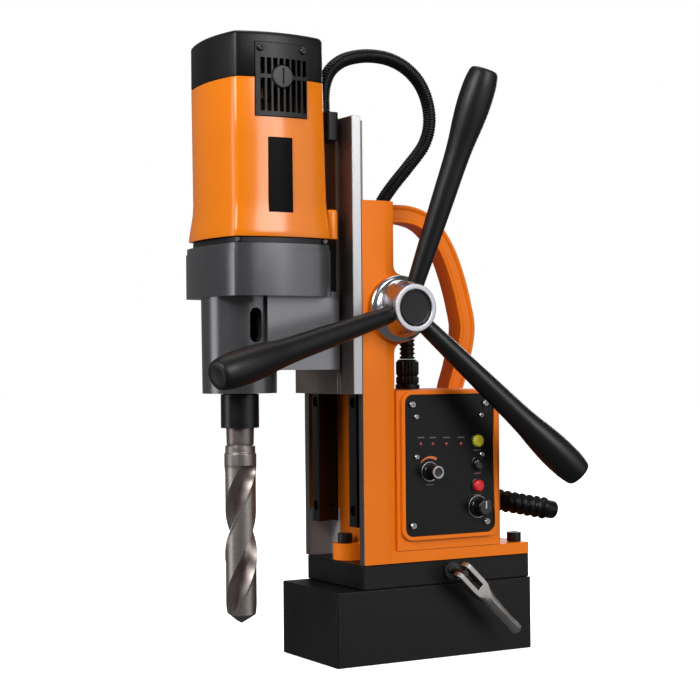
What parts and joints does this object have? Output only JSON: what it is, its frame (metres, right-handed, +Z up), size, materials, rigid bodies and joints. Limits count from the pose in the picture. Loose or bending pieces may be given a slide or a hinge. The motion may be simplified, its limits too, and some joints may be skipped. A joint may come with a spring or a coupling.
{
  "type": "magnetic drill press",
  "caption": "Portable magnetic-base drill press: motor and gear casing on a rack-fed dovetail slide, spoked feed hub, column with carrying loop, control box and twist drill.",
  "frame": {"origin": "centre of the magnet's bottom face, on the plate that it clamps to", "axes": "+Z up along the column and the spindle; -Y towards the spindle side; +X towards the feed hub and the control panel"},
  "size_m": [0.1495, 0.3149, 0.4393],
  "materials": {
    "magnet_black": "satin black paint",
    "magnet_coil": "varnished copper winding set in resin",
    "orange_casting": "orange powder coat on cast aluminium",
    "orange_housing": "moulded orange plastic",
    "black_bolt": "blackened steel",
    "pivot_steel": "turned steel",
    "slide_steel": "dark ground steel",
    "bush_bronze": "turned bronze",
    "panel_black": "fine black film on a sheet",
    "board_green": "lacquered board",
    "black_rubber": "matte moulded rubber",
    "button_yellow": "yellow plastic",
    "button_black": "black plastic",
    "button_red": "red plastic",
    "lever_steel": "brushed grey steel",
    "gunmetal": "gunmetal grey enamel on cast aluminium",
    "motor_black": "black moulded plastic",
    "copper": "varnished copper winding on steel",
    "spindle_black": "blackened steel",
    "drill_steel": "ground tool steel",
    "hub_chrome": "polished chrome",
    "ring_aluminium": "satin aluminium",
    "grip_black": "black moulded grips"
  },
  "bodies": {
    "magnet": {"magnet_body": "magnet_black", "magnet_coil": "magnet_coil", "swivel_pivot": "pivot_steel"},
    "frame": {"swivel_plate": "magnet_black", "frame_casting": "orange_casting", "base_bolt_front": "black_bolt", "base_bolt_right": "black_bolt", "base_bolt_left": "black_bolt", "gib_rail_right": "slide_steel", "gib_rail_left": "slide_steel", "feed_bush_right": "bush_bronze", "feed_bush_left": "bush_bronze", "control_box": "orange_casting", "panel_plate": "panel_black", "circuit_board": "board_green", "mains_strain_relief": "black_rubber", "carry_handle": "orange_casting", "clamp_stud": "slide_steel", "box_gland": "black_rubber", "motor_conduit": "black_rubber"},
    "start_push": {"start_button": "button_yellow"},
    "mode_push": {"mode_button": "button_black"},
    "stop_push": {"stop_button": "button_red"},
    "speed_dial": {"speed_knob": "button_black"},
    "magnet_switch": {"magnet_knob": "button_black"},
    "clamp": {"clamp_lever": "lever_steel"},
    "carriage": {"slide_plate": "slide_steel", "feed_rack": "slide_steel", "gear_casing": "gunmetal", "bearing_plate": "gunmetal", "motor_housing": "orange_housing", "motor_cap": "motor_black", "vent_grille_right": "motor_black", "vent_grille_left": "motor_black", "brush_cap_right": "motor_black", "brush_cap_left": "motor_black", "stator": "pivot_steel", "spindle_bearing_lower": "pivot_steel", "spindle_bearing_upper": "pivot_steel", "motor_gland": "black_rubber"},
    "armature": {"armature_shaft": "pivot_steel", "armature_core": "copper", "commutator": "copper", "cooling_fan": "motor_black"},
    "intermediate": {"intermediate_shaft": "pivot_steel", "intermediate_gear": "pivot_steel"},
    "drive_spindle": {"spindle": "spindle_black", "spindle_gear": "pivot_steel", "drill_bit": "drill_steel"},
    "feed": {"feed_shaft": "pivot_steel", "feed_pinion": "pivot_steel", "feed_hub": "hub_chrome", "hub_ring": "ring_aluminium", "hub_cap": "motor_black", "handle_rod_a": "hub_chrome", "handle_grip_a": "grip_black", "handle_rod_b": "hub_chrome", "handle_grip_b": "grip_black", "handle_rod_c": "hub_chrome", "handle_grip_c": "grip_black"}
  },
  "joints": [
    {"name": "base_swivel", "type": "hinge", "parent": "magnet", "child": "frame", "pos_m": [0, 0.012, 0.07], "axis": [0, 0, 1], "range_deg": [-15, 15]},
    {"name": "carriage_slide", "type": "slide", "parent": "frame", "child": "carriage", "axis": [0, 0, -1], "range_m": [0, 0.096]},
    {"name": "feed_turn", "type": "hinge", "parent": "frame", "child": "feed", "pos_m": [0.057, -0.0331, 0.2498], "axis": [1, 0, 0], "range_deg": [-5, 465]},
    {"name": "spindle_spin", "type": "hinge", "parent": "carriage", "child": "drive_spindle", "pos_m": [0, -0.136, 0.2], "axis": [0, 0, 1], "continuous": true},
    {"name": "intermediate_spin", "type": "hinge", "parent": "carriage", "child": "intermediate", "pos_m": [0.024, -0.121, 0.275], "axis": [0, 0, 1], "continuous": true},
    {"name": "armature_spin", "type": "hinge", "parent": "carriage", "child": "armature", "pos_m": [0, -0.1214, 0.36], "axis": [0, 0, 1], "continuous": true},
    {"name": "clamp_lever_flip", "type": "hinge", "parent": "frame", "child": "clamp", "pos_m": [0.058, 0.012, 0.0618], "axis": [0, -0.7126, -0.7016], "range_deg": [0, 95]},
    {"name": "start_press", "type": "slide", "parent": "frame", "child": "start_push", "axis": [-1, 0, 0], "range_m": [0, 0.0015], "stiffness_N_per_m": 800, "springref_m": -0.001},
    {"name": "mode_press", "type": "slide", "parent": "frame", "child": "mode_push", "axis": [-1, 0, 0], "range_m": [0, 0.0015], "stiffness_N_per_m": 800, "springref_m": -0.001},
    {"name": "stop_press", "type": "slide", "parent": "frame", "child": "stop_push", "axis": [-1, 0, 0], "range_m": [0, 0.0015], "stiffness_N_per_m": 800, "springref_m": -0.001},
    {"name": "speed_turn", "type": "hinge", "parent": "frame", "child": "speed_dial", "pos_m": [0.0445, -0.008, 0.134], "axis": [1, 0, 0], "range_deg": [-135, 135]},
    {"name": "magnet_turn", "type": "hinge", "parent": "frame", "child": "magnet_switch", "pos_m": [0.0445, 0.033, 0.107], "axis": [1, 0, 0], "range_deg": [0, 90]}
  ],
  "couplings": [
    {"joint": "feed_turn", "follows": "carriage_slide", "rad_per_m": 83.333},
    {"joint": "intermediate_spin", "follows": "spindle_spin", "ratio": -2.9},
    {"joint": "armature_spin", "follows": "spindle_spin", "ratio": 10.875}
  ]
}
